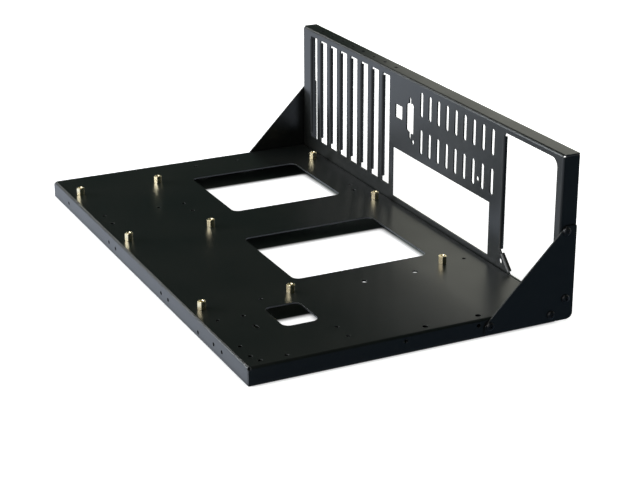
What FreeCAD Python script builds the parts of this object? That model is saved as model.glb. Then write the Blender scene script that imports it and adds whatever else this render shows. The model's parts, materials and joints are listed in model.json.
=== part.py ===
"""Open sheet metal chassis for a circuit board: a folded tray, a rear panel that stands on
its back edge, two corner gussets, nine hexagonal standoffs and eight button-head screws.

Millimetres. X runs along the rear panel, Y from the front to the back, Z up. The origin is
the centre of the bounding box on the surface that the tray's rims stand on.
"""
import FreeCAD, Part
import math
import os
from FreeCAD import Vector

# ---- sheet ----
sheet = 1.2                     # thickness of the tray and the panel
inner_bend = 0.8                # inside radius of each fold
outer_bend = inner_bend + sheet
seam = 0.4                      # gap where two flanges meet at a corner

# ---- tray and panel margins ----
tray_height = 14.0              # from the rims up to the tray's top face
panel_flange = 14.0             # depth of the panel's top and right flanges, over its face
left_flange = 12.4              # the left one is cut back behind the first card slot
flange_corner = 4.5             # round at the foot of each side flange
datum_inset = 45.7              # from the left side to the board datum
board_setback = 12.0            # from the panel's front face to the rear row of standoffs
front_margin = 10.17            # from the front row of standoffs to the front flange
right_post = 7.8                # panel left standing beside the power supply opening
top_rail = 5.0                  # and above it

# ---- standoffs, on the usual board pattern ----
column_middle = 124.46
column_right = 281.94
row_middle = 154.94
row_front = 227.33
right_rear_step = 22.86         # the rear standoff on the right sits this much forward
standoff_height = 6.5
standoff_flats = 6.0
standoff_bore = 2.9
standoff_bore_depth = 5.0
stud_diameter = 3.4
stud_length = 4.6
thread_gap = 0.05               # radial gap between a screw's or stud's crest and its hole

# ---- expansion slots ----
slot_count = 8
slot_pitch = 20.32
slot_width = 13.0
slot_height = 98.0
slot_rise = 12.0                # from the tray's top face to the slot's lower end
first_slot = -22.2              # centre of the first slot from the datum
lip_depth = 3.1                 # stiffening lip folded back along a cut-out's left edge
lip_relief_low = 3.8            # free cut below a lip
lip_relief_high = 2.8           # and above it
tight_relief = 0.6              # the same where a lip runs on into a corner
slot_screw_shift = 4.6          # bracket screw to the right of its slot's centre
slot_screw_hole = 3.5

# ---- connector window ----
window_width = 158.75
window_height = 44.45
window_from_datum = 133.3
window_rise = 4.3

# ---- power supply opening ----
supply_from_datum = 310.5
supply_width = 72.0
supply_height = 111.0           # from the tray's top face
supply_chamfer = 15.0           # lower corner on the window's side
supply_corner_left = 3.0
supply_corner_right = 7.0

# ---- where everything starts ----
width = datum_inset + supply_from_datum + supply_width + right_post
tray_depth = board_setback + row_front + front_margin
panel_height = tray_height + supply_height + top_rail
right = width / 2
left = -right
back = (tray_depth + panel_flange) / 2
panel_y = back - panel_flange   # front face of the panel, and back face of the tray
front = panel_y - tray_depth
tray_z = tray_height
datum_x = left + datum_inset    # board datum: the standoff nearest the first slot
datum_y = panel_y - board_setback

# ---- ventilation slots ----
vent_columns = 9
vent_rows = 2
vent_pitch = 14.0
vent_row_pitch = 32.2
vent_width = 4.5
vent_length = 21.6
first_vent = 182.2              # from the datum
first_vent_rise = 66.3          # centre of the lower row above the tray

# ---- connector cut-outs between the slots and the vents ----
socket_from_datum = 162.7
socket_rise = 82.0
socket_length = 27.6
socket_width = 12.0
socket_taper = 10.0             # degrees on each end of the D shape
socket_corner = 2.0
socket_screw_spacing = 33.3
socket_screw_hole = 3.2
key_from_datum = 143.2
key_rise = 82.3
key_side = 12.0

# ---- small panel holes ----
panel_hole = 4.2
panel_holes_from_datum = (168.2, 273.2)
panel_holes_rise = 62.4
post_hole_from_datum = 311.4
post_hole_rise = 6.2

# ---- tray cut-outs: centre from the datum, then size ----
cutout_corner = 6.0
cutouts = {
    "slots side": (51.5, -72.5, 98.0, 102.0),
    "window side": (211.4, -83.0, 99.0, 117.6),
    "front": (319.3, -171.9, 38.0, 28.7),
}

# ---- tray fixing holes: pattern centre from the datum, spacings, diameter ----
small_hole = 3.2
large_hole = 4.5
hole_patterns = {
    "drive bracket left": (71.4, -190.5, 20.4, 72.2, small_hole),
    "drive bracket right": (364.2, -190.5, 17.8, 76.0, small_hole),
    "power supply foot": (335.5, -73.0, 95.0, 44.4, large_hole),
    "front clip": (344.8, -215.2, 75.4, 20.0, small_hole),
    "side bracket": (-28.0, -86.4, 0.0, 41.3, small_hole),
}
single_holes = ((61.7, -177.9), (284.2, -181.0), (82.1, -2.6), (95.9, -6.1), (280.9, -2.6))
clip_slot = (328.8, -204.5)
clip_slot_length = 7.0

# ---- flange holes ----
front_holes = (-3.7, 102.8, 119.0, 223.3, 238.2, 328.4, 343.3)
front_hole_drop = 7.7           # below the tray's top face
lower_front_hole = (298.6, 10.4)
side_holes = (-115.0, -54.6)    # along Y from the datum
side_hole_drop = 4.6

# ---- gussets ----
gusset_sheet = 1.2
gusset_run = 76.0               # along the tray, from the panel flange's back edge
gusset_rise = 74.2              # from its lower edge to its top
gusset_rim_gap = 1.0            # how far its lower edge stays above the rims
gusset_top = 8.8                # short edge at its top
gusset_nose = 7.0               # and the one at its front
gusset_rear_corner = 4.5
gusset_corner = 1.2

# ---- gusset screws ----
screw_diameter = 3.0
screw_length = 4.5
screw_head = 6.6
screw_head_height = 2.0
screw_crown = 3.6               # across the flat top of the button head
screw_rim = 0.6                 # straight side of the head above its seat
screw_clearance = 0.2           # radial, in the gusset
upper_screw = (8.7, 3.9)        # from the gusset's back edge and its top
lower_screw = (7.0, 16.6)       # from its back edge and its lower edge
rear_screw = (19.1, 5.7)        # the same
front_screw = (4.1, 6.7)        # from its front edge and its lower edge

tiny = 1e-6                     # two places closer than this are one place

x_axis = Vector(1, 0, 0)
y_axis = Vector(0, 1, 0)
z_axis = Vector(0, 0, 1)


def save(shape, node):
    """Write one sub-part."""
    solids = shape.Solids
    if len(solids) != 1 or not shape.isValid():
        raise RuntimeError(f"{node}: {len(solids)} solids, valid {shape.isValid()}")
    solids[0].exportStep(f"parts/{node}.step")
    print(f"{node}: {solids[0].Volume:.0f} mm3")


def box(x_span, y_span, z_span):
    """Block between two corners, each span being (low, high)."""
    spans = (x_span, y_span, z_span)
    sizes = [high - low for low, high in spans]
    return Part.makeBox(*sizes, Vector(*[low for low, high in spans]))


def closed_outline(points):
    """Straight-sided outline through the points."""
    return Part.Wire(Part.makePolygon([*points, points[0]]))


def fold(start, along, outward, into, length, reach):
    """Folded edge of a sheet: a quarter bend and a flange.

    The sheet's outer face ends on the line from start along the given direction. The
    flange ends at reach from that face, measured the way the fold turns.
    """
    def at(out, down):
        return start + outward * out + into * down

    turn = math.sqrt(0.5)
    outline = Part.Wire([
        Part.Arc(at(0, 0), at(outer_bend * turn, outer_bend * (1 - turn)),
                 at(outer_bend, outer_bend)).toShape(),
        Part.LineSegment(at(outer_bend, outer_bend), at(outer_bend, reach)).toShape(),
        Part.LineSegment(at(outer_bend, reach), at(inner_bend, reach)).toShape(),
        Part.LineSegment(at(inner_bend, reach), at(inner_bend, outer_bend)).toShape(),
        Part.Arc(at(inner_bend, outer_bend),
                 at(inner_bend * turn, outer_bend - inner_bend * turn),
                 at(0, sheet)).toShape(),
        Part.LineSegment(at(0, sheet), at(0, 0)).toShape(),
    ])
    return Part.Face(outline).extrude(along * length)


def flange_end(start, along, outward, into, reach):
    """Flat stretch that carries a flange on past the end of its bend."""
    corner = start + outward * inner_bend + into * outer_bend
    outline = closed_outline([
        corner, corner + outward * sheet,
        corner + outward * sheet + into * (reach - outer_bend),
        corner + into * (reach - outer_bend),
    ])
    return Part.Face(outline).extrude(along)


def drill(x, y, z, diameter, axis, depth):
    """Cylinder centred on a point, to cut a hole through a sheet."""
    start = Vector(x, y, z) - axis * (depth / 2)
    return Part.makeCylinder(diameter / 2, depth, start, axis)


def edges_along(shape, axis):
    """Straight edges of a shape that run along an axis."""
    found = []
    for edge in shape.Edges:
        if len(edge.Vertexes) == 2:
            step = edge.Vertexes[1].Point - edge.Vertexes[0].Point
            if step.cross(axis).Length < tiny * step.Length:
                found.append(edge)
    return found


def slot_cutter(centre, length, slot_size, along, axis, depth):
    """Round-ended slot through a sheet."""
    half = along * ((length - slot_size) / 2)
    side = axis.cross(along) * (slot_size / 2)
    start = centre - axis * (depth / 2)
    corners = [start - half - side, start + half - side, start + half + side, start - half + side]
    tip = along * (slot_size / 2)
    outline = Part.Wire([
        Part.LineSegment(corners[0], corners[1]).toShape(),
        Part.Arc(corners[1], start + half + tip, corners[2]).toShape(),
        Part.LineSegment(corners[2], corners[3]).toShape(),
        Part.Arc(corners[3], start - half - tip, corners[0]).toShape(),
    ])
    return Part.Face(outline).extrude(axis * depth)


def standoff_places():
    """Node name and place of each standoff."""
    columns = {"left": 0.0, "middle": column_middle, "right": column_right}
    rows = {"rear": 0.0, "middle": row_middle, "front": row_front}
    places = {}
    for row, forward in rows.items():
        for column, across in columns.items():
            step = right_rear_step if (row, column) == ("rear", "right") else 0.0
            name = f"standoff_{row}_{column}"
            places[name] = Vector(datum_x + across, datum_y - forward - step, tray_z)
    return places


def gusset_screw_places():
    """Place name, and Y and Z of each gusset screw."""
    low_z = gusset_rim_gap
    return {
        "upper": (back - upper_screw[0], low_z + gusset_rise - upper_screw[1]),
        "lower": (back - lower_screw[0], low_z + lower_screw[1]),
        "rear": (back - rear_screw[0], low_z + rear_screw[1]),
        "front": (back - gusset_run + front_screw[0], low_z + front_screw[1]),
    }


def tray_flanges():
    """Four flanges folded down round the tray, the side ones running past the corners."""
    low_x, high_x = left + outer_bend, right - outer_bend
    low_y, high_y = front + outer_bend, panel_y - outer_bend
    down = -z_axis
    flanges = []
    for side, edge_x in ((-1, low_x), (1, high_x)):
        out = x_axis * side
        start = Vector(edge_x, low_y, tray_z)
        flanges.append(fold(start, y_axis, out, down, high_y - low_y, tray_height))
        flanges.append(flange_end(start, -y_axis * outer_bend, out, down, tray_height))
        start.y = high_y
        flanges.append(flange_end(start, y_axis * outer_bend, out, down, tray_height))
    overrun = outer_bend - sheet - seam
    for side, edge_y in ((-1, low_y), (1, high_y)):
        out = y_axis * side
        start = Vector(low_x, edge_y, tray_z)
        flanges.append(fold(start, x_axis, out, down, high_x - low_x, tray_height))
        flanges.append(flange_end(start, -x_axis * overrun, out, down, tray_height))
        start.x = high_x
        flanges.append(flange_end(start, x_axis * overrun, out, down, tray_height))
    return flanges


def tray_cutters():
    """Everything punched out of the tray's floor and flanges."""
    through = 4 * sheet
    floor_span = (tray_z - through, tray_z + through)
    cutters = []
    for across, forward, size_x, size_y in cutouts.values():
        x, y = datum_x + across, datum_y + forward
        opening = box((x - size_x / 2, x + size_x / 2), (y - size_y / 2, y + size_y / 2),
                      floor_span)
        cutters.append(opening.makeFillet(cutout_corner, edges_along(opening, z_axis)))
    for across, forward, spacing_x, spacing_y, diameter in hole_patterns.values():
        for x in sorted({across - spacing_x / 2, across + spacing_x / 2}):
            for y in (forward - spacing_y / 2, forward + spacing_y / 2):
                cutters.append(drill(datum_x + x, datum_y + y, tray_z, diameter, z_axis, through))
    for across, forward in single_holes:
        cutters.append(drill(datum_x + across, datum_y + forward, tray_z,
                             small_hole, z_axis, through))
    clip = Vector(datum_x + clip_slot[0], datum_y + clip_slot[1], tray_z)
    cutters.append(slot_cutter(clip, clip_slot_length, small_hole, x_axis, z_axis, through))
    for place in standoff_places().values():
        cutters.append(drill(place.x, place.y, tray_z, stud_diameter + 2 * thread_gap,
                             z_axis, through))
    for across in front_holes:
        cutters.append(drill(datum_x + across, front, tray_z - front_hole_drop,
                             small_hole, y_axis, through))
    cutters.append(drill(datum_x + lower_front_hole[0], front, tray_z - lower_front_hole[1],
                         small_hole, y_axis, through))
    screws = gusset_screw_places()
    for side in (left, right):
        for forward in side_holes:
            cutters.append(drill(side, datum_y + forward, tray_z - side_hole_drop,
                                 small_hole, x_axis, through))
        for name in ("rear", "front"):
            y, z = screws[name]
            cutters.append(drill(side, y, z, screw_diameter + 2 * thread_gap, x_axis, through))
    return cutters


def make_tray():
    """Floor and four flanges folded from one sheet."""
    floor = box((left + outer_bend, right - outer_bend),
                (front + outer_bend, panel_y - outer_bend), (tray_z - sheet, tray_z))
    body = floor.multiFuse(tray_flanges()).removeSplitter()
    return body.cut(Part.makeCompound(tray_cutters()))


def panel_blank():
    """Panel sheet with its side and top flanges folded back."""
    low_x, high_x = left + outer_bend, right - outer_bend
    high_z = panel_height - outer_bend
    blank = box((low_x, high_x), (panel_y, panel_y + sheet), (0, high_z))
    folds = []
    side_rise = outer_bend - sheet - seam
    for side, edge_x, depth in ((-1, low_x, left_flange), (1, high_x, panel_flange)):
        out = x_axis * side
        start = Vector(edge_x, panel_y, 0)
        folds.append(fold(start, z_axis, out, y_axis, high_z, depth))
        start.z = high_z
        folds.append(flange_end(start, z_axis * side_rise, out, y_axis, depth))
    start = Vector(low_x, panel_y, high_z)
    folds.append(fold(start, x_axis, z_axis, y_axis, high_x - low_x, panel_flange))
    folds.append(flange_end(start, -x_axis * outer_bend, z_axis, y_axis, panel_flange))
    start.x = high_x
    folds.append(flange_end(start, x_axis * outer_bend, z_axis, y_axis, panel_flange))
    blank = blank.multiFuse(folds).removeSplitter()
    feet = [edge for edge in edges_along(blank, x_axis)
            if edge.BoundBox.ZMax < tiny and edge.BoundBox.YMin > panel_y + outer_bend]
    return blank.makeFillet(flange_corner, feet)


def slot_left_edges():
    """X of each expansion slot's left edge."""
    first = datum_x + first_slot - slot_width / 2
    return [first + slot_pitch * number for number in range(slot_count)]


def supply_cutter(depth_span):
    """Power supply opening: square at the foot, chamfered towards the connector window."""
    low_x = datum_x + supply_from_datum
    high_x = low_x + supply_width
    high_z = tray_z + supply_height
    opening = box((low_x, high_x), depth_span, (tray_z, high_z))
    uprights = {supply_corner_left: low_x, supply_corner_right: high_x}
    for radius, x in uprights.items():
        top = [edge for edge in edges_along(opening, y_axis)
               if edge.BoundBox.ZMin > high_z - tiny and abs(edge.BoundBox.XMin - x) < tiny]
        opening = opening.makeFillet(radius, top)
    foot = [edge for edge in edges_along(opening, y_axis)
            if edge.BoundBox.ZMax < tray_z + tiny and edge.BoundBox.XMax < low_x + tiny]
    return opening.makeChamfer(supply_chamfer, foot)


def socket_cutter(depth_span):
    """D-shaped connector cut-out on end, with its two screw notches joined on."""
    x = datum_x + socket_from_datum
    z = tray_z + socket_rise
    start_y, end_y = depth_span
    taper = socket_width * math.tan(math.radians(socket_taper))
    half = socket_length / 2
    near, far = x + socket_width / 2, x - socket_width / 2
    corners = [(near, -half), (near, half), (far, half - taper), (far, taper - half)]
    points = [Vector(corner_x, start_y, z + rise) for corner_x, rise in corners]
    body = Part.Face(closed_outline(points)).extrude(y_axis * (end_y - start_y))
    body = body.makeFillet(socket_corner, edges_along(body, y_axis))
    centre = Vector(x, (start_y + end_y) / 2, z)
    notch = slot_cutter(centre, socket_screw_spacing + socket_screw_hole, socket_screw_hole,
                        z_axis, y_axis, end_y - start_y)
    return body.fuse(notch)


def panel_cutters():
    """Everything punched out of the panel's face and flanges."""
    through = 4 * sheet
    face_span = (panel_y - through, panel_y + through)
    cutters = [supply_cutter(face_span), socket_cutter(face_span)]
    low_z = tray_z + slot_rise
    for edge in slot_left_edges():
        cutters.append(box((edge, edge + slot_width), face_span, (low_z, low_z + slot_height)))
        cutters.append(drill(edge + slot_width / 2 + slot_screw_shift, panel_y + panel_flange / 2,
                             panel_height, slot_screw_hole, z_axis, through))
    window_x = datum_x + window_from_datum
    window_z = tray_z + window_rise
    cutters.append(box((window_x, window_x + window_width), face_span,
                       (window_z, window_z + window_height)))
    key_x, key_z = datum_x + key_from_datum, tray_z + key_rise
    cutters.append(box((key_x - key_side / 2, key_x + key_side / 2), face_span,
                       (key_z - key_side / 2, key_z + key_side / 2)))
    for column in range(vent_columns):
        for row in range(vent_rows):
            centre = Vector(datum_x + first_vent + vent_pitch * column, panel_y,
                            tray_z + first_vent_rise + vent_row_pitch * row)
            cutters.append(slot_cutter(centre, vent_length, vent_width, z_axis, y_axis, 2 * through))
    for across in panel_holes_from_datum:
        cutters.append(drill(datum_x + across, panel_y, tray_z + panel_holes_rise,
                             panel_hole, y_axis, 2 * through))
    cutters.append(drill(datum_x + post_hole_from_datum, panel_y, tray_z + post_hole_rise,
                         panel_hole, y_axis, 2 * through))
    screws = gusset_screw_places()
    for side in (left, right):
        for name in ("upper", "lower"):
            y, z = screws[name]
            cutters.append(drill(side, y, z, screw_diameter + 2 * thread_gap, x_axis, through))
    return cutters


def add_lip(body, foot, up, right_way, length):
    """Turn the sheet back along a cut edge: clear the bend's strip, then fold the lip."""
    clear = 2 * sheet
    behind = 4 * sheet
    corner = foot - right_way * outer_bend - y_axis * clear
    strip = closed_outline([corner, corner + right_way * (outer_bend + clear),
                            corner + right_way * (outer_bend + clear) + up * length,
                            corner + up * length])
    body = body.cut(Part.Face(strip).extrude(y_axis * (clear + behind)))
    lip = fold(foot - right_way * outer_bend, up, right_way, y_axis, length, lip_depth)
    return body.fuse(lip)


def make_panel():
    """Rear panel with its openings, and lips folded back along their left edges."""
    body = panel_blank().cut(Part.makeCompound(panel_cutters()))
    for edge in slot_left_edges():
        foot = Vector(edge, panel_y, tray_z + slot_rise + lip_relief_low)
        length = slot_height - lip_relief_low - lip_relief_high
        body = add_lip(body, foot, z_axis, x_axis, length)
    edge = datum_x + supply_from_datum
    low_z = tray_z + supply_chamfer + tight_relief
    high_z = tray_z + supply_height - supply_corner_left - tight_relief
    body = add_lip(body, Vector(edge, panel_y, low_z), z_axis, x_axis, high_z - low_z)
    turn = math.sqrt(0.5)
    down = Vector(turn, 0, -turn)
    clear_way = Vector(turn, 0, turn)
    slope = supply_chamfer / turn
    end_gap = outer_bend + tight_relief
    start = Vector(edge, panel_y, tray_z + supply_chamfer) + down * (slope - end_gap)
    lip = slope - 2 * end_gap
    return add_lip(body, start, -down, clear_way, lip).removeSplitter()


def make_gusset(side):
    """Three-cornered plate across the tray's and the panel's side flanges."""
    inner_x = side * right
    low_z = gusset_rim_gap
    tip_y, tip_z = back - gusset_run, low_z + gusset_rise
    corners = [
        (back, low_z), (tip_y, low_z), (tip_y, low_z + gusset_nose),
        (back - gusset_top, tip_z), (back, tip_z),
    ]
    points = [Vector(inner_x, y, z) for y, z in corners]
    plate = Part.Face(closed_outline(points)).extrude(x_axis * (side * gusset_sheet))
    edges = edges_along(plate, x_axis)
    rear_foot = [edge for edge in edges
                 if edge.BoundBox.YMin > back - tiny and edge.BoundBox.ZMax < low_z + tiny]
    plate = plate.makeFillet(gusset_rear_corner, rear_foot)
    tips = [edge for edge in edges_along(plate, x_axis)
            if edge.BoundBox.YMax < tip_y + tiny or edge.BoundBox.ZMin > tip_z - tiny]
    plate = plate.makeFillet(gusset_corner, tips)
    hole = screw_diameter + 2 * screw_clearance
    holes = [drill(inner_x, y, z, hole, x_axis, 4 * gusset_sheet)
             for y, z in gusset_screw_places().values()]
    return plate.cut(Part.makeCompound(holes))


def make_screw(side, y, z):
    """Button-head screw, its head seated on the gusset."""
    rim = Part.makeCylinder(screw_head / 2, screw_rim)
    crown = Part.makeCone(screw_head / 2, screw_crown / 2, screw_head_height - screw_rim,
                          Vector(0, 0, screw_rim))
    shank = Part.makeCylinder(screw_diameter / 2, screw_length, Vector(0, 0, -screw_length))
    body = rim.multiFuse([crown, shank]).removeSplitter()
    body.rotate(Vector(), y_axis, 90 * side)
    body.translate(Vector(side * (right + gusset_sheet), y, z))
    return body


def make_standoff(place):
    """Hexagonal standoff: blind tapped bore at the top, stud through the tray."""
    corner = standoff_flats / math.sqrt(3)
    turns = [math.radians(60 * number + 30) for number in range(6)]
    points = [Vector(corner * math.cos(turn), corner * math.sin(turn), 0) for turn in turns]
    body = Part.Face(closed_outline(points)).extrude(z_axis * standoff_height)
    stud = Part.makeCylinder(stud_diameter / 2, stud_length, Vector(0, 0, -stud_length))
    bore = Part.makeCylinder(standoff_bore / 2, standoff_bore_depth,
                             Vector(0, 0, standoff_height - standoff_bore_depth))
    body = body.fuse(stud).cut(bore)
    body.translate(place)
    return body


os.makedirs("parts", exist_ok=True)
save(make_tray(), "tray")
save(make_panel(), "rear_panel")
for side, side_name in ((-1, "left"), (1, "right")):
    save(make_gusset(side), f"gusset_{side_name}")
    for name, (y, z) in gusset_screw_places().items():
        save(make_screw(side, y, z), f"screw_{side_name}_{name}")
for node, place in standoff_places().items():
    save(make_standoff(place), node)
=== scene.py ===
import json
import math

import bmesh
import bpy
from mathutils import Matrix, Vector


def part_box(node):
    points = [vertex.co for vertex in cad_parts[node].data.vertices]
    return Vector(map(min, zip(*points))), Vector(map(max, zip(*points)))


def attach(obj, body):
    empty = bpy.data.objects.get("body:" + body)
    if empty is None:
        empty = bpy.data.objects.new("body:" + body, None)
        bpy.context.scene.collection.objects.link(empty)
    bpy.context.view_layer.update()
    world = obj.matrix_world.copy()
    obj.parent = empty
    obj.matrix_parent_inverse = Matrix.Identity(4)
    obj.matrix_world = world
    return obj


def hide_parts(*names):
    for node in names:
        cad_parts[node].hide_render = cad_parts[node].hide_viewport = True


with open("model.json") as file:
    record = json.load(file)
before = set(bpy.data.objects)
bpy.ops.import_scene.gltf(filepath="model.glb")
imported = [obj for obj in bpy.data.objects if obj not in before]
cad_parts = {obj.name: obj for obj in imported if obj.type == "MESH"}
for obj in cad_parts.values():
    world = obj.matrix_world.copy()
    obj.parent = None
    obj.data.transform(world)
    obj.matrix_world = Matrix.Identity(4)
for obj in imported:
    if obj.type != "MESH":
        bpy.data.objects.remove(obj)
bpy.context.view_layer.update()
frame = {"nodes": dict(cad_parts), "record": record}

scene = bpy.context.scene
mm = 0.001
print("chassis frame loaded:", len(frame["nodes"]), "parts")


# short ways to add nodes and join them

def addNode(tree, kind, links=None, **settings):
    node = tree.nodes.new(kind)
    for name, value in settings.items():
        setattr(node, name, value)
    for socket, value in (links or {}).items():
        target = node.inputs[socket]
        if isinstance(value, bpy.types.NodeSocket):
            tree.links.new(value, target)
        else:
            target.default_value = value
    return node


def objectPlace(tree):
    return tree.nodes.new("ShaderNodeTexCoord").outputs["Object"]


def noiseTexture(tree, coords, scale, detail, roughness):
    node = addNode(tree, "ShaderNodeTexNoise",
                   {"Vector": coords, "Scale": scale, "Detail": detail, "Roughness": roughness})
    return node.outputs["Fac"]


def remap(tree, value, low, high, newLow, newHigh):
    node = addNode(tree, "ShaderNodeMapRange",
                   {"Value": value, "From Min": low, "From Max": high,
                    "To Min": newLow, "To Max": newHigh})
    return node.outputs["Result"]


def combine(tree, operation, first, second):
    node = addNode(tree, "ShaderNodeMath", {0: first, 1: second}, operation=operation)
    return node.outputs[0]


def mixColour(tree, mask, first, second):
    node = addNode(tree, "ShaderNodeMix", {0: mask, 6: first, 7: second}, data_type="RGBA")
    return node.outputs[2]


def newGroup(name, inputs, outputs):
    group = bpy.data.node_groups.new(name, "ShaderNodeTree")
    for label, value in inputs:
        socket = group.interface.new_socket(label, in_out="INPUT", socket_type="NodeSocketFloat")
        socket.default_value = value
    for label, kind in outputs:
        group.interface.new_socket(label, in_out="OUTPUT", socket_type=kind)
    return group, group.nodes.new("NodeGroupInput"), group.nodes.new("NodeGroupOutput")


def useGroup(tree, group, values):
    return addNode(tree, "ShaderNodeGroup", values, node_tree=group)


# effects that several finishes share

grainShape = {
    "peel": (2.0, 0.5),        # detail and roughness of each noise
    "grit": (1.0, 0.5),
    "drift": (5.0, 0.6),
    "driftRange": (0.3, 0.7),
}


def makeCoatGrain():  # orange peel, fine grit and a slow drift in gloss
    group, given, result = newGroup(
        "coatGrain",
        [("Peel Scale", 700.0), ("Grit Scale", 3200.0), ("Grit Share", 0.35),
         ("Drift Scale", 14.0)],
        [("Height", "NodeSocketFloat"), ("Drift", "NodeSocketFloat")])
    place = objectPlace(group)
    peel = noiseTexture(group, place, given.outputs["Peel Scale"], *grainShape["peel"])
    grit = noiseTexture(group, place, given.outputs["Grit Scale"], *grainShape["grit"])
    weighted = combine(group, "MULTIPLY", grit, given.outputs["Grit Share"])
    group.links.new(combine(group, "ADD", peel, weighted), result.inputs["Height"])
    drift = noiseTexture(group, place, given.outputs["Drift Scale"], *grainShape["drift"])
    low, high = grainShape["driftRange"]
    group.links.new(remap(group, drift, low, high, 0.0, 1.0), result.inputs["Drift"])
    return group


sheenShape = {
    "radius": 0.35 * mm,       # how far in from an edge the painted highlight reaches
    "samples": 8,
    "full": 0.2,               # turn of the surface at which the painted highlight is full
    "patches": (3.0, 0.6),     # detail and roughness of the noise that breaks it up
    "patchRange": (0.35, 0.65),
    "patchLeast": 0.4,
}


def makeEdgeSheen():  # painted highlight: edges and corners made lighter where the bevel normal turns away from the face
    group, given, result = newGroup(
        "edgeRub",
        [("Breakup Scale", 220.0), ("Cut", 0.02)],
        [("Mask", "NodeSocketFloat"), ("Rounded", "NodeSocketVector")])
    place = objectPlace(group)
    rounded = addNode(group, "ShaderNodeBevel", {"Radius": sheenShape["radius"]},
                      samples=sheenShape["samples"])
    surface = group.nodes.new("ShaderNodeNewGeometry")
    dot = addNode(group, "ShaderNodeVectorMath",
                  {0: rounded.outputs["Normal"], 1: surface.outputs["True Normal"]},
                  operation="DOT_PRODUCT")
    bare = combine(group, "SUBTRACT", 1.0, dot.outputs["Value"])
    edge = addNode(group, "ShaderNodeMapRange",
                   {"Value": bare, "From Min": given.outputs["Cut"],
                    "From Max": sheenShape["full"]})
    breakup = noiseTexture(group, place, given.outputs["Breakup Scale"], *sheenShape["patches"])
    low, high = sheenShape["patchRange"]
    patches = remap(group, breakup, low, high, sheenShape["patchLeast"], 1.0)
    mask = combine(group, "MULTIPLY", edge.outputs["Result"], patches)
    group.links.new(mask, result.inputs["Mask"])
    group.links.new(rounded.outputs["Normal"], result.inputs["Rounded"])
    return group


coatGrain = makeCoatGrain()
edgeRub = makeEdgeSheen()


# finishes

def newFinish(name, look):
    material = bpy.data.materials.new(name)
    material.use_nodes = True
    tree = material.node_tree
    shader = tree.nodes["Principled BSDF"]
    grain = useGroup(tree, coatGrain, look["grain"])
    rough = remap(tree, grain.outputs["Drift"], 0.0, 1.0, look["roughLow"], look["roughHigh"])
    tree.links.new(rough, shader.inputs["Roughness"])
    return material, tree, shader, grain


def addBump(tree, shader, height, depth, normal=None):
    links = {"Height": height, "Strength": 1.0, "Distance": depth}
    if normal is not None:
        links["Normal"] = normal
    bump = addNode(tree, "ShaderNodeBump", links)
    tree.links.new(bump.outputs["Normal"], shader.inputs["Normal"])


coatLook = {
    "deep": (0.0050, 0.0062, 0.0062, 1.0),
    "pale": (0.0085, 0.0090, 0.0078, 1.0),
    # painted highlight: the lighter colour and the share of it given to the coat's edges
    "rubbed": (0.12, 0.125, 0.125, 1.0),
    "rubShare": 0.45,
    "roughLow": 0.30,
    "roughHigh": 0.37,
    "peelDepth": 0.012 * mm,
    "ior": 1.5,
    "grain": {"Peel Scale": 620.0, "Grit Scale": 2600.0, "Grit Share": 0.4,
              "Drift Scale": 12.0},
    "rub": {"Breakup Scale": 160.0, "Cut": 0.03},
}


def makePowderCoat():
    material, tree, shader, grain = newFinish("blackPowderCoat", coatLook)
    # painted highlight along the edges, mixed into the coat's colour
    rub = useGroup(tree, edgeRub, coatLook["rub"])
    base = mixColour(tree, grain.outputs["Drift"], coatLook["deep"], coatLook["pale"])
    edge = combine(tree, "MULTIPLY", rub.outputs["Mask"], coatLook["rubShare"])
    colour = mixColour(tree, edge, base, coatLook["rubbed"])
    tree.links.new(colour, shader.inputs["Base Color"])
    addBump(tree, shader, grain.outputs["Height"], coatLook["peelDepth"],
            rub.outputs["Rounded"])
    shader.inputs["IOR"].default_value = coatLook["ior"]
    return material


oxideLook = {
    "deep": (0.012, 0.012, 0.014, 1.0),
    # painted highlight: lighter colour on the screw heads' edges
    "worn": (0.07, 0.068, 0.066, 1.0),
    "roughLow": 0.22,
    "roughHigh": 0.38,
    "grainDepth": 0.004 * mm,
    "metallic": 0.35,
    "grain": {"Peel Scale": 1500.0, "Grit Scale": 6000.0, "Grit Share": 0.2,
              "Drift Scale": 180.0},
    "rub": {"Breakup Scale": 900.0, "Cut": 0.02},
}


def makeBlackOxide():
    material, tree, shader, grain = newFinish("blackOxideSteel", oxideLook)
    # painted highlight along the edges, through the shared edge mask
    rub = useGroup(tree, edgeRub, oxideLook["rub"])
    colour = mixColour(tree, rub.outputs["Mask"], oxideLook["deep"], oxideLook["worn"])
    tree.links.new(colour, shader.inputs["Base Color"])
    addBump(tree, shader, grain.outputs["Height"], oxideLook["grainDepth"])
    shader.inputs["Metallic"].default_value = oxideLook["metallic"]
    return material


brassLook = {
    "bright": (0.95, 0.86, 0.62, 1.0),
    "dull": (0.84, 0.70, 0.42, 1.0),
    "roughLow": 0.22,
    "roughHigh": 0.32,
    "lineScale": 5200.0,       # fine rings left by the lathe
    "lineNoise": (2.0, 0.5),
    "lineSquash": (0.05, 0.05, 1.0),
    "lineDepth": 0.004 * mm,
    "grain": {"Peel Scale": 1100.0, "Grit Scale": 5200.0, "Grit Share": 0.2,
              "Drift Scale": 240.0},
}


def makeTurnedBrass():
    material, tree, shader, grain = newFinish("turnedBrass", brassLook)
    colour = mixColour(tree, grain.outputs["Drift"], brassLook["bright"], brassLook["dull"])
    tree.links.new(colour, shader.inputs["Base Color"])
    squashed = addNode(tree, "ShaderNodeMapping",
                       {"Vector": objectPlace(tree), "Scale": brassLook["lineSquash"]})
    lines = noiseTexture(tree, squashed.outputs["Vector"], brassLook["lineScale"],
                         *brassLook["lineNoise"])
    addBump(tree, shader, lines, brassLook["lineDepth"])
    shader.inputs["Metallic"].default_value = 1.0
    return material


powderCoat = makePowderCoat()
blackOxide = makeBlackOxide()
turnedBrass = makeTurnedBrass()

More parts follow.
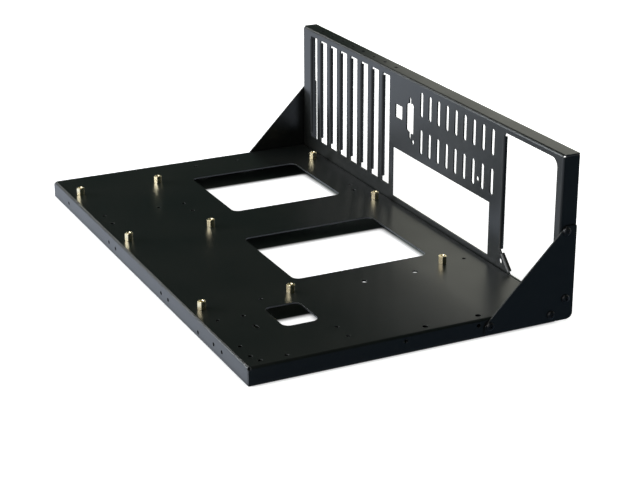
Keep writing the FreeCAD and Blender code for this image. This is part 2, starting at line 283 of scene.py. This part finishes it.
sheetParts = [name for name in frame["nodes"]
              if name in ("tray", "rear_panel") or name.startswith("gusset")]
for name in sheetParts:
    part = frame["nodes"][name]
    part.data.materials.clear()
    part.data.materials.append(powderCoat)
print("finishes made, sheet parts coated:", ", ".join(sorted(sheetParts)))


# turned parts: each row is a function that gives radius and height at an angle

def turnedMesh(name, rows, steps):
    mesh = bmesh.new()
    rings = []
    for row in rows:
        ring = []
        for index in range(steps):
            angle = 2 * math.pi * index / steps
            radius, height = row(angle)
            ring.append(mesh.verts.new((radius * math.cos(angle), radius * math.sin(angle),
                                        height)))
        rings.append(ring)
    for lower, upper in zip(rings, rings[1:]):
        for index in range(steps):
            after = (index + 1) % steps
            mesh.faces.new((lower[index], lower[after], upper[after], upper[index]))
    for ring, turned in ((rings[0], True), (rings[-1], False)):
        centre = sum((vert.co for vert in ring), Vector()) / steps
        pole = mesh.verts.new((0, 0, centre.z))
        for index in range(steps):
            after = (index + 1) % steps
            first, last = (after, index) if turned else (index, after)
            mesh.faces.new((pole, ring[first], ring[last]))
    bmesh.ops.recalc_face_normals(mesh, faces=mesh.faces)
    data = bpy.data.meshes.new(name)
    mesh.to_mesh(data)
    mesh.free()
    return data


def ringRow(radius, height):
    return lambda angle: (radius, height)


def hexRow(flats, limit, height):
    def row(angle):
        part = (angle + math.pi / 6) % (math.pi / 3) - math.pi / 6
        return (min(flats / 2 / math.cos(part), limit), height)
    return row


def threadRow(crest, depth, pitch, height, fade):
    def row(angle):
        turn = (height / pitch - angle / (2 * math.pi)) % 1.0
        groove = abs(2 * turn - 1)
        return (crest - depth * fade * groove, height)
    return row


thread = {
    "rowsPerPitch": 6,
    "fadeRate": 6,             # how fast the groove deepens from either end
}


def threadRows(crest, depth, pitch, start, end):
    count = max(2, round(abs(end - start) / pitch * thread["rowsPerPitch"]))
    rows = []
    for index in range(count + 1):
        share = index / count
        fade = min(1.0, thread["fadeRate"] * share, thread["fadeRate"] * (1 - share))
        rows.append(threadRow(crest, depth, pitch, start + (end - start) * share, fade))
    return rows


standoff = {
    "flats": 6.0 * mm,
    "chamfer": 0.45 * mm,      # the turned bevel on the hexagon's corners
    "bevelShares": (1.0, 0.8, 0.6, 0.4, 0.2, 0.0),     # where its rows lie, from the corner in
    "footBevel": 0.6,          # the same at its foot, as a share of that
    "footShares": (0.0, 0.35, 0.7, 1.0),
    "footStep": 0.01 * mm,
    "turnedShare": 0.97,       # where the bevel starts, as a share of the flats
    "bore": 1.45 * mm,         # crest radius of the thread in the bore
    "boreDepth": 5.0 * mm,
    "boreGroove": 0.8,         # depth of that thread, as a share of the stud's
    "drillShare": 0.9,         # the plain end of the bore, as a share of its radius
    "drillLength": 0.4 * mm,
    "sink": 0.75 * mm,         # countersink round the bore
    "sinkStep": 0.02 * mm,
    "sinkLand": 0.1 * mm,
    "stud": 1.7 * mm,
    "studLength": 4.6 * mm,
    "tip": (0.5 * mm, 0.3 * mm),   # how much the stud's tip narrows, and over what length
    "runOut": 0.5 * mm,        # the stud's thread stops this far below the hexagon
    "neck": 0.3 * mm,
    "threadDepth": 0.24 * mm,
    "pitch": 0.6 * mm,
    "steps": 48,
    "turnSpread": 0.04,        # how far each is turned at random, in radians
    "seed": 4,
}


def makeStandoffMaster():
    low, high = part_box("standoff_rear_left")
    height = high.z - low.z - standoff["studLength"]
    rows = standoffStud() + standoffHexagon(height) + standoffBore(height)
    return turnedMesh("standoffMaster", rows, standoff["steps"])


def standoffStud():
    stud, depth = standoff["stud"], standoff["threadDepth"]
    bottom = -standoff["studLength"]
    narrow, length = standoff["tip"]
    rows = [ringRow(stud - narrow, bottom)]
    rows += threadRows(stud, depth, standoff["pitch"], bottom + length, -standoff["runOut"])
    rows += [ringRow(stud - depth, -standoff["neck"]), ringRow(stud - depth, 0.0)]
    return rows


def standoffHexagon(height):
    flats, chamfer = standoff["flats"], standoff["chamfer"]
    turned = flats / 2 * standoff["turnedShare"]
    reach = flats / math.sqrt(3) - turned
    rows = [hexRow(flats, turned, 0.0)]
    for share in standoff["footShares"]:
        rows.append(hexRow(flats, turned + reach * share,
                           standoff["footStep"] + chamfer * standoff["footBevel"] * share))
    for share in standoff["bevelShares"]:
        rows.append(hexRow(flats, turned + reach * share, height - chamfer * share))
    return rows


def standoffBore(height):
    bore, sink = standoff["bore"], standoff["sink"]
    bottom = height - standoff["boreDepth"]
    rows = [ringRow(bore + sink, height), ringRow(bore + standoff["sinkStep"], height - sink)]
    rows += threadRows(bore, -standoff["threadDepth"] * standoff["boreGroove"],
                       standoff["pitch"], height - sink - standoff["sinkLand"],
                       bottom + standoff["drillLength"])
    rows.append(ringRow(bore * standoff["drillShare"], bottom))
    return rows


screw = {
    "head": 3.3 * mm,          # radius of the head
    "headHeight": 2.0 * mm,
    "rim": 0.35 * mm,
    "edgeBreak": 0.12 * mm,    # bevel under the rim
    "flat": 1.3 * mm,          # radius of the flat on its crown
    "crownRows": 8,
    "shank": 1.5 * mm,
    "tip": (0.4 * mm, 0.3 * mm),   # how much the shank's tip narrows, and over what length
    "runOut": 0.4 * mm,        # the thread stops this far below the head
    "neck": 0.2 * mm,
    "threadDepth": 0.2 * mm,
    "pitch": 0.5 * mm,
    "recessWidth": 0.75 * mm,
    "recessSpan": 3.3 * mm,
    "recessDepth": 1.25 * mm,
    "recessFoot": (0.45, 0.75),    # how span and width shrink to the recess's floor
    "recessClear": 0.4 * mm,   # how far the cutter stands above the head
    "steps": 48,
    "turnSpread": 3.14,
    "seed": 11,
}


def crossCutter():
    top = screw["headHeight"] + screw["recessClear"]
    bottom = screw["headHeight"] - screw["recessDepth"]
    mesh = bmesh.new()
    for turn in (0.0, math.pi / 2):
        found = bmesh.ops.create_cube(mesh, size=1.0)
        for vert in found["verts"]:
            upper = vert.co.z > 0
            spanShare, widthShare = (1.0, 1.0) if upper else screw["recessFoot"]
            vert.co.x *= screw["recessSpan"] * spanShare
            vert.co.y *= screw["recessWidth"] * widthShare
            vert.co.z = top if upper else bottom
        bmesh.ops.rotate(mesh, verts=found["verts"], cent=(0, 0, 0),
                         matrix=Matrix.Rotation(turn, 3, "Z"))
    data = bpy.data.meshes.new("crossCutter")
    mesh.to_mesh(data)
    mesh.free()
    return data


def meshObject(name, data):
    item = bpy.data.objects.new(name, data)
    scene.collection.objects.link(item)
    return item


def finishedMesh(item):
    graph = bpy.context.evaluated_depsgraph_get()
    return bpy.data.meshes.new_from_object(item.evaluated_get(graph), depsgraph=graph)


def makeScrewMaster():
    low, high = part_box("screw_right_front")
    headHeight = screw["headHeight"]
    bottom = headHeight - (high.x - low.x)
    head, flat, rim, shank = screw["head"], screw["flat"], screw["rim"], screw["shank"]
    narrow, length = screw["tip"]
    edgeBreak = screw["edgeBreak"]
    rows = [ringRow(shank - narrow, bottom)]
    rows += threadRows(shank, screw["threadDepth"], screw["pitch"],
                       bottom + length, -screw["runOut"])
    rows += [ringRow(shank, -screw["neck"]), ringRow(shank, 0.0)]
    rows += [ringRow(head - edgeBreak, 0.0), ringRow(head, edgeBreak), ringRow(head, rim)]
    for index in range(screw["crownRows"]):
        turn = math.pi / 2 * (index + 1) / screw["crownRows"]
        rows.append(ringRow(flat + (head - flat) * math.cos(turn),
                            rim + (headHeight - rim) * math.sin(turn)))
    body = meshObject("screwBody", turnedMesh("screwBody", rows, screw["steps"]))
    cutter = meshObject("screwCutter", crossCutter())
    cut = body.modifiers.new("recess", "BOOLEAN")
    cut.operation = "DIFFERENCE"
    cut.solver = "EXACT"
    cut.use_self = True
    cut.object = cutter
    data = finishedMesh(body)
    bpy.data.objects.remove(body)
    bpy.data.objects.remove(cutter)
    return data


# one part set at many seats

def treeSocket(tree, label, kind, value=None):
    socket = tree.interface.new_socket(label, in_out="INPUT", socket_type=kind)
    if value is not None:
        socket.default_value = value
    return socket.identifier


def makeSeatTree():
    tree = bpy.data.node_groups.new("seatFasteners", "GeometryNodeTree")
    tree.interface.new_socket("Geometry", in_out="INPUT", socket_type="NodeSocketGeometry")
    tree.interface.new_socket("Geometry", in_out="OUTPUT", socket_type="NodeSocketGeometry")
    sockets = {
        "part": treeSocket(tree, "Part", "NodeSocketObject"),
        "size": treeSocket(tree, "Size", "NodeSocketFloat", 1.0),
        "turn": treeSocket(tree, "Turn Spread", "NodeSocketFloat", 0.0),
        "seed": treeSocket(tree, "Seed", "NodeSocketInt", 0),
        "finish": treeSocket(tree, "Finish", "NodeSocketMaterial"),
    }
    given, result = tree.nodes.new("NodeGroupInput"), tree.nodes.new("NodeGroupOutput")
    part = addNode(tree, "GeometryNodeObjectInfo",
                   {"Object": given.outputs["Part"], "As Instance": True})
    facing = addNode(tree, "GeometryNodeInputNamedAttribute", {"Name": "facing"},
                     data_type="FLOAT_VECTOR")
    aimed = addNode(tree, "FunctionNodeAlignRotationToVector",
                    {"Vector": facing.outputs["Attribute"]}, axis="Z")
    spread = given.outputs["Turn Spread"]
    spin = addNode(tree, "FunctionNodeRandomValue",
                   {2: combine(tree, "MULTIPLY", spread, -1.0), 3: spread,
                    "Seed": given.outputs["Seed"]}, data_type="FLOAT")
    spun = addNode(tree, "FunctionNodeAxisAngleToRotation",
                   {"Axis": (0.0, 0.0, 1.0), "Angle": spin.outputs[1]})
    turned = addNode(tree, "FunctionNodeRotateRotation",
                     {"Rotation": aimed.outputs["Rotation"],
                      "Rotate By": spun.outputs["Rotation"]}, rotation_space="LOCAL")
    seated = addNode(tree, "GeometryNodeInstanceOnPoints",
                     {"Points": given.outputs["Geometry"], "Instance": part.outputs["Geometry"],
                      "Rotation": turned.outputs["Rotation"], "Scale": given.outputs["Size"]})
    real = addNode(tree, "GeometryNodeRealizeInstances", {"Geometry": seated.outputs["Instances"]})
    finished = addNode(tree, "GeometryNodeSetMaterial",
                       {"Geometry": real.outputs["Geometry"], "Material": given.outputs["Finish"]})
    tree.links.new(finished.outputs["Geometry"], result.inputs["Geometry"])
    return tree, sockets


seatTree, seatSockets = makeSeatTree()


def seatPart(name, master, seats, facings, look, finish):
    points = bpy.data.meshes.new(name + "Seats")
    points.from_pydata([tuple(seat) for seat in seats], [], [])
    attribute = points.attributes.new("facing", "FLOAT_VECTOR", "POINT")
    for index, facing in enumerate(facings):
        attribute.data[index].vector = facing
    carrier = meshObject(name + "Carrier", points)
    masterObject = meshObject(name + "Master", master)
    modifier = carrier.modifiers.new("seats", "NODES")
    modifier.node_group = seatTree
    for key, value in (("part", masterObject), ("size", 1.0), ("turn", look["turnSpread"]),
                       ("seed", look["seed"]), ("finish", finish)):
        modifier[seatSockets[key]] = value
    data = finishedMesh(carrier)
    data.name = name
    bpy.data.objects.remove(carrier)
    bpy.data.objects.remove(masterObject)
    piece = meshObject(name, data)
    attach(piece, "root")
    return piece


standoffNodes = sorted(name for name in frame["nodes"] if name.startswith("standoff_"))
screwNodes = sorted(name for name in frame["nodes"] if name.startswith("screw_"))

seats = []
for name in standoffNodes:
    low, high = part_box(name)
    seats.append(Vector(((low.x + high.x) / 2, (low.y + high.y) / 2,
                         low.z + standoff["studLength"])))
up = [Vector((0, 0, 1))] * len(seats)
piece = seatPart("standoffs", makeStandoffMaster(), seats, up, standoff, turnedBrass)
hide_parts(*standoffNodes)
print("standoffs seated:", len(seats), "polygons:", len(piece.data.polygons))

seats, facings = [], []
for name in screwNodes:
    low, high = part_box(name)
    side = -1 if "left" in name else 1
    outer = high.x if side > 0 else low.x
    seats.append(Vector((outer - side * screw["headHeight"], (low.y + high.y) / 2,
                         (low.z + high.z) / 2)))
    facings.append(Vector((side, 0, 0)))
piece = seatPart("buttonScrews", makeScrewMaster(), seats, facings, screw, blackOxide)
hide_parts(*screwNodes)
print("screws seated:", len(seats), "polygons:", len(piece.data.polygons))


# studio

def softBox(tree, place, low, high, soft):  # 1 inside the box, falling to 0 across soft
    split = addNode(tree, "ShaderNodeSeparateXYZ", {"Vector": place})
    share = 1.0
    for axis, start, end in (("X", low[0], high[0]), ("Y", low[1], high[1])):
        along = split.outputs[axis]
        rise = remap(tree, along, start - soft / 2, start + soft / 2, 0.0, 1.0)
        fall = remap(tree, along, end - soft / 2, end + soft / 2, 1.0, 0.0)
        share = combine(tree, "MULTIPLY", share, combine(tree, "MULTIPLY", rise, fall))
    return share


def mirrorRay(tree, path):  # 1 for a ray that gloss or glass sends on
    return combine(tree, "MAXIMUM", path.outputs["Is Glossy Ray"],
                   path.outputs["Is Transmission Ray"])


floorLook = {
    "size": 8.0,
    "squares": 8,
    "drop": 0.2 * mm,          # how far the paper lies below the rims
    "colour": (0.88, 0.88, 0.88, 1.0),
    # painted shadow: the paper's colour under the tray's sheet
    "underneath": (0.22, 0.24, 0.22, 1.0),
    "glow": 0.88,              # keeps the paper white to the camera
    "litSide": (0.93, 1.02, 1.18, 1.0),    # the paper as gloss mirrors it
    "darkSide": (0.085, 0.125, 0.175, 1.0),    # painted shade: the paper as gloss mirrors it on the right of the tray
    "drift": (-4 * mm, 14 * mm),   # how far the painted light patch under each cut-out runs on under the sheet
    "soft": 6 * mm,
}


def makeFloor():
    mesh = bmesh.new()
    bmesh.ops.create_grid(mesh, x_segments=floorLook["squares"],
                          y_segments=floorLook["squares"], size=floorLook["size"] / 2)
    bmesh.ops.translate(mesh, verts=mesh.verts, vec=(0, 0, -floorLook["drop"]))
    data = bpy.data.meshes.new("floor")
    mesh.to_mesh(data)
    mesh.free()
    floor = meshObject("floor", data)
    data.materials.append(makePaper())


def makePaper():
    material = bpy.data.materials.new("paperFloor")
    material.use_nodes = True
    tree = material.node_tree
    tree.nodes.clear()
    place = objectPlace(tree)
    low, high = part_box("tray")
    soft = floorLook["soft"]
    footprint = softBox(tree, place, low, high, soft)
    # painted shadow under the tray's sheet, with a painted light patch under each cut-out, shifted
    # the way light through it would fall; it darkens the paper there and takes its glow away
    paintedShadeShare = footprint
    for opening in frame["record"]["physics"]["openings"]:
        if opening["name"].startswith("tray_cutout"):
            start, end = opening["box_m"]
            first = (start[0] + floorLook["drift"][0], start[1])
            last = (end[0], end[1] + floorLook["drift"][1])
            paintedLightPatch = softBox(tree, place, first, last, soft)
            paintedShadeShare = combine(tree, "MULTIPLY", paintedShadeShare, combine(tree, "SUBTRACT", 1.0, paintedLightPatch))
    paintedLightShare = combine(tree, "SUBTRACT", 1.0, paintedShadeShare)
    split = addNode(tree, "ShaderNodeSeparateXYZ", {"Vector": place})
    # painted shade on the paper to the right of the tray, seen only in gloss
    onRight = combine(tree, "MULTIPLY",
                      remap(tree, split.outputs["X"], high.x - soft, high.x, 0.0, 1.0),
                      remap(tree, split.outputs["Y"], low.y - soft, low.y, 0.0, 1.0))
    paintedShadeRight = combine(tree, "MULTIPLY", onRight, combine(tree, "SUBTRACT", 1.0, footprint))
    side = mixColour(tree, paintedShadeRight, floorLook["litSide"], floorLook["darkSide"])
    path = tree.nodes.new("ShaderNodeLightPath")
    glow = combine(tree, "MULTIPLY", path.outputs["Is Camera Ray"], floorLook["glow"])
    tone = mixColour(tree, paintedShadeShare, floorLook["colour"], floorLook["underneath"])
    paper = addNode(tree, "ShaderNodeBsdfDiffuse", {"Color": tone})
    shine = addNode(tree, "ShaderNodeEmission",
                    {"Color": (1, 1, 1, 1), "Strength": combine(tree, "MULTIPLY", glow, paintedLightShare)})
    seen = addNode(tree, "ShaderNodeAddShader", {0: paper.outputs[0], 1: shine.outputs[0]})
    mirrored = addNode(tree, "ShaderNodeEmission", {"Color": side, "Strength": paintedLightShare})
    either = addNode(tree, "ShaderNodeMixShader",
                     {0: mirrorRay(tree, path), 1: seen.outputs[0], 2: mirrored.outputs[0]})
    output = tree.nodes.new("ShaderNodeOutputMaterial")
    tree.links.new(either.outputs[0], output.inputs["Surface"])
    return material


room = {
    "dark": (0.029, 0.045, 0.037, 1.0),
    "pale": (1.0, 1.0, 1.0, 1.0),   # what gloss sees of the white surroundings
    "paleMiddle": 160.0,       # compass point of that side, in degrees from +Y towards +X
    "paleHalf": 50.0,
    "soft": 20.0,
}


def makeWorld():
    world = bpy.data.worlds.new("studio")
    world.use_nodes = True
    scene.world = world
    tree = world.node_tree
    tree.nodes.clear()
    direction = tree.nodes.new("ShaderNodeTexCoord").outputs["Generated"]
    level = addNode(tree, "ShaderNodeVectorMath", {0: direction, 1: (1, 1, 0)},
                    operation="MULTIPLY")
    flat = addNode(tree, "ShaderNodeVectorMath", {0: level.outputs["Vector"]},
                   operation="NORMALIZE")
    middle = math.radians(room["paleMiddle"])
    towards = addNode(tree, "ShaderNodeVectorMath",
                      {0: flat.outputs["Vector"], 1: (math.sin(middle), math.cos(middle), 0)},
                      operation="DOT_PRODUCT")
    half, soft = room["paleHalf"], room["soft"]
    side = remap(tree, towards.outputs["Value"], math.cos(math.radians(half + soft / 2)),
                 math.cos(math.radians(half - soft / 2)), 0.0, 1.0)
    path = tree.nodes.new("ShaderNodeLightPath")
    white = combine(tree, "MAXIMUM", path.outputs["Is Camera Ray"],
                    combine(tree, "MULTIPLY", mirrorRay(tree, path), side))
    colour = mixColour(tree, white, room["dark"], room["pale"])
    air = addNode(tree, "ShaderNodeBackground", {"Color": colour, "Strength": 1.0})
    output = tree.nodes.new("ShaderNodeOutputWorld")
    tree.links.new(air.outputs[0], output.inputs["Surface"])


lamps = {                      # place, aim, width, height, watts, colour
    "keyLamp": ((-1.60, -2.40, 0.90), (0.0, 0.0, 0.0), 1.8, 1.2, 104.0, (0.91, 0.96, 1.0)),
    "sideLamp": ((-0.27, -2.80, 1.10), (0.0, 0.0, 0.0), 1.8, 1.2, 20.0, (1.0, 1.0, 1.0)),
    "topLamp": ((0.05, -1.30, 2.20), (0.0, 0.0, 0.0), 0.9, 0.9, 12.0, (1.0, 1.0, 1.0)),
    "leftLamp": ((-2.60, -0.40, 1.44), (0.0, 0.0, 0.0), 0.7, 0.7, 7.0, (1.0, 1.0, 0.97)),
    "backCard": ((-0.23, 0.50, 0.205), (-0.23, 0.0, 0.205), 1.06, 0.41, 1.44,
                 (1.0, 0.99, 0.88)),
}


def makeLamps():
    for name, (place, aim, width, height, watts, colour) in lamps.items():
        data = bpy.data.lights.new(name, "AREA")
        data.shape = "RECTANGLE"
        data.size = width
        data.size_y = height
        data.energy = watts
        data.color = colour
        lamp = bpy.data.objects.new(name, data)
        scene.collection.objects.link(lamp)
        lamp.visible_camera = False
        lamp.location = place
        lamp.rotation_euler = (Vector(aim) - Vector(place)).to_track_quat("-Z", "Y").to_euler()


makeFloor()
makeWorld()
makeLamps()
print("studio ready")

view = {
    "place": (1.1572, -0.5339, 0.5008),
    "azimuth": 63.984,
    "elevation": 21.203,
    "roll": -0.108,
    "lens": 93.08,
    "sensor": 36.0,
    "shift": (-0.0034, 0.0057),
    "reach": (0.05, 20.0),     # nearest and farthest distance the camera sees
}


def makeCamera():
    data = bpy.data.cameras.new("camera")
    data.sensor_width = view["sensor"]
    data.lens = view["lens"]
    data.shift_x, data.shift_y = view["shift"]
    data.clip_start, data.clip_end = view["reach"]
    camera = bpy.data.objects.new("camera", data)
    scene.collection.objects.link(camera)
    camera.location = view["place"]
    tilt = Matrix.Rotation(math.radians(90 - view["elevation"]), 4, "X")
    swing = Matrix.Rotation(math.radians(view["azimuth"]), 4, "Z")
    roll = Matrix.Rotation(math.radians(view["roll"]), 4, "Z")
    camera.rotation_euler = (swing @ tilt @ roll).to_euler()
    return camera


scene.camera = makeCamera()
scene.view_settings.view_transform = "Standard"
print("camera set")
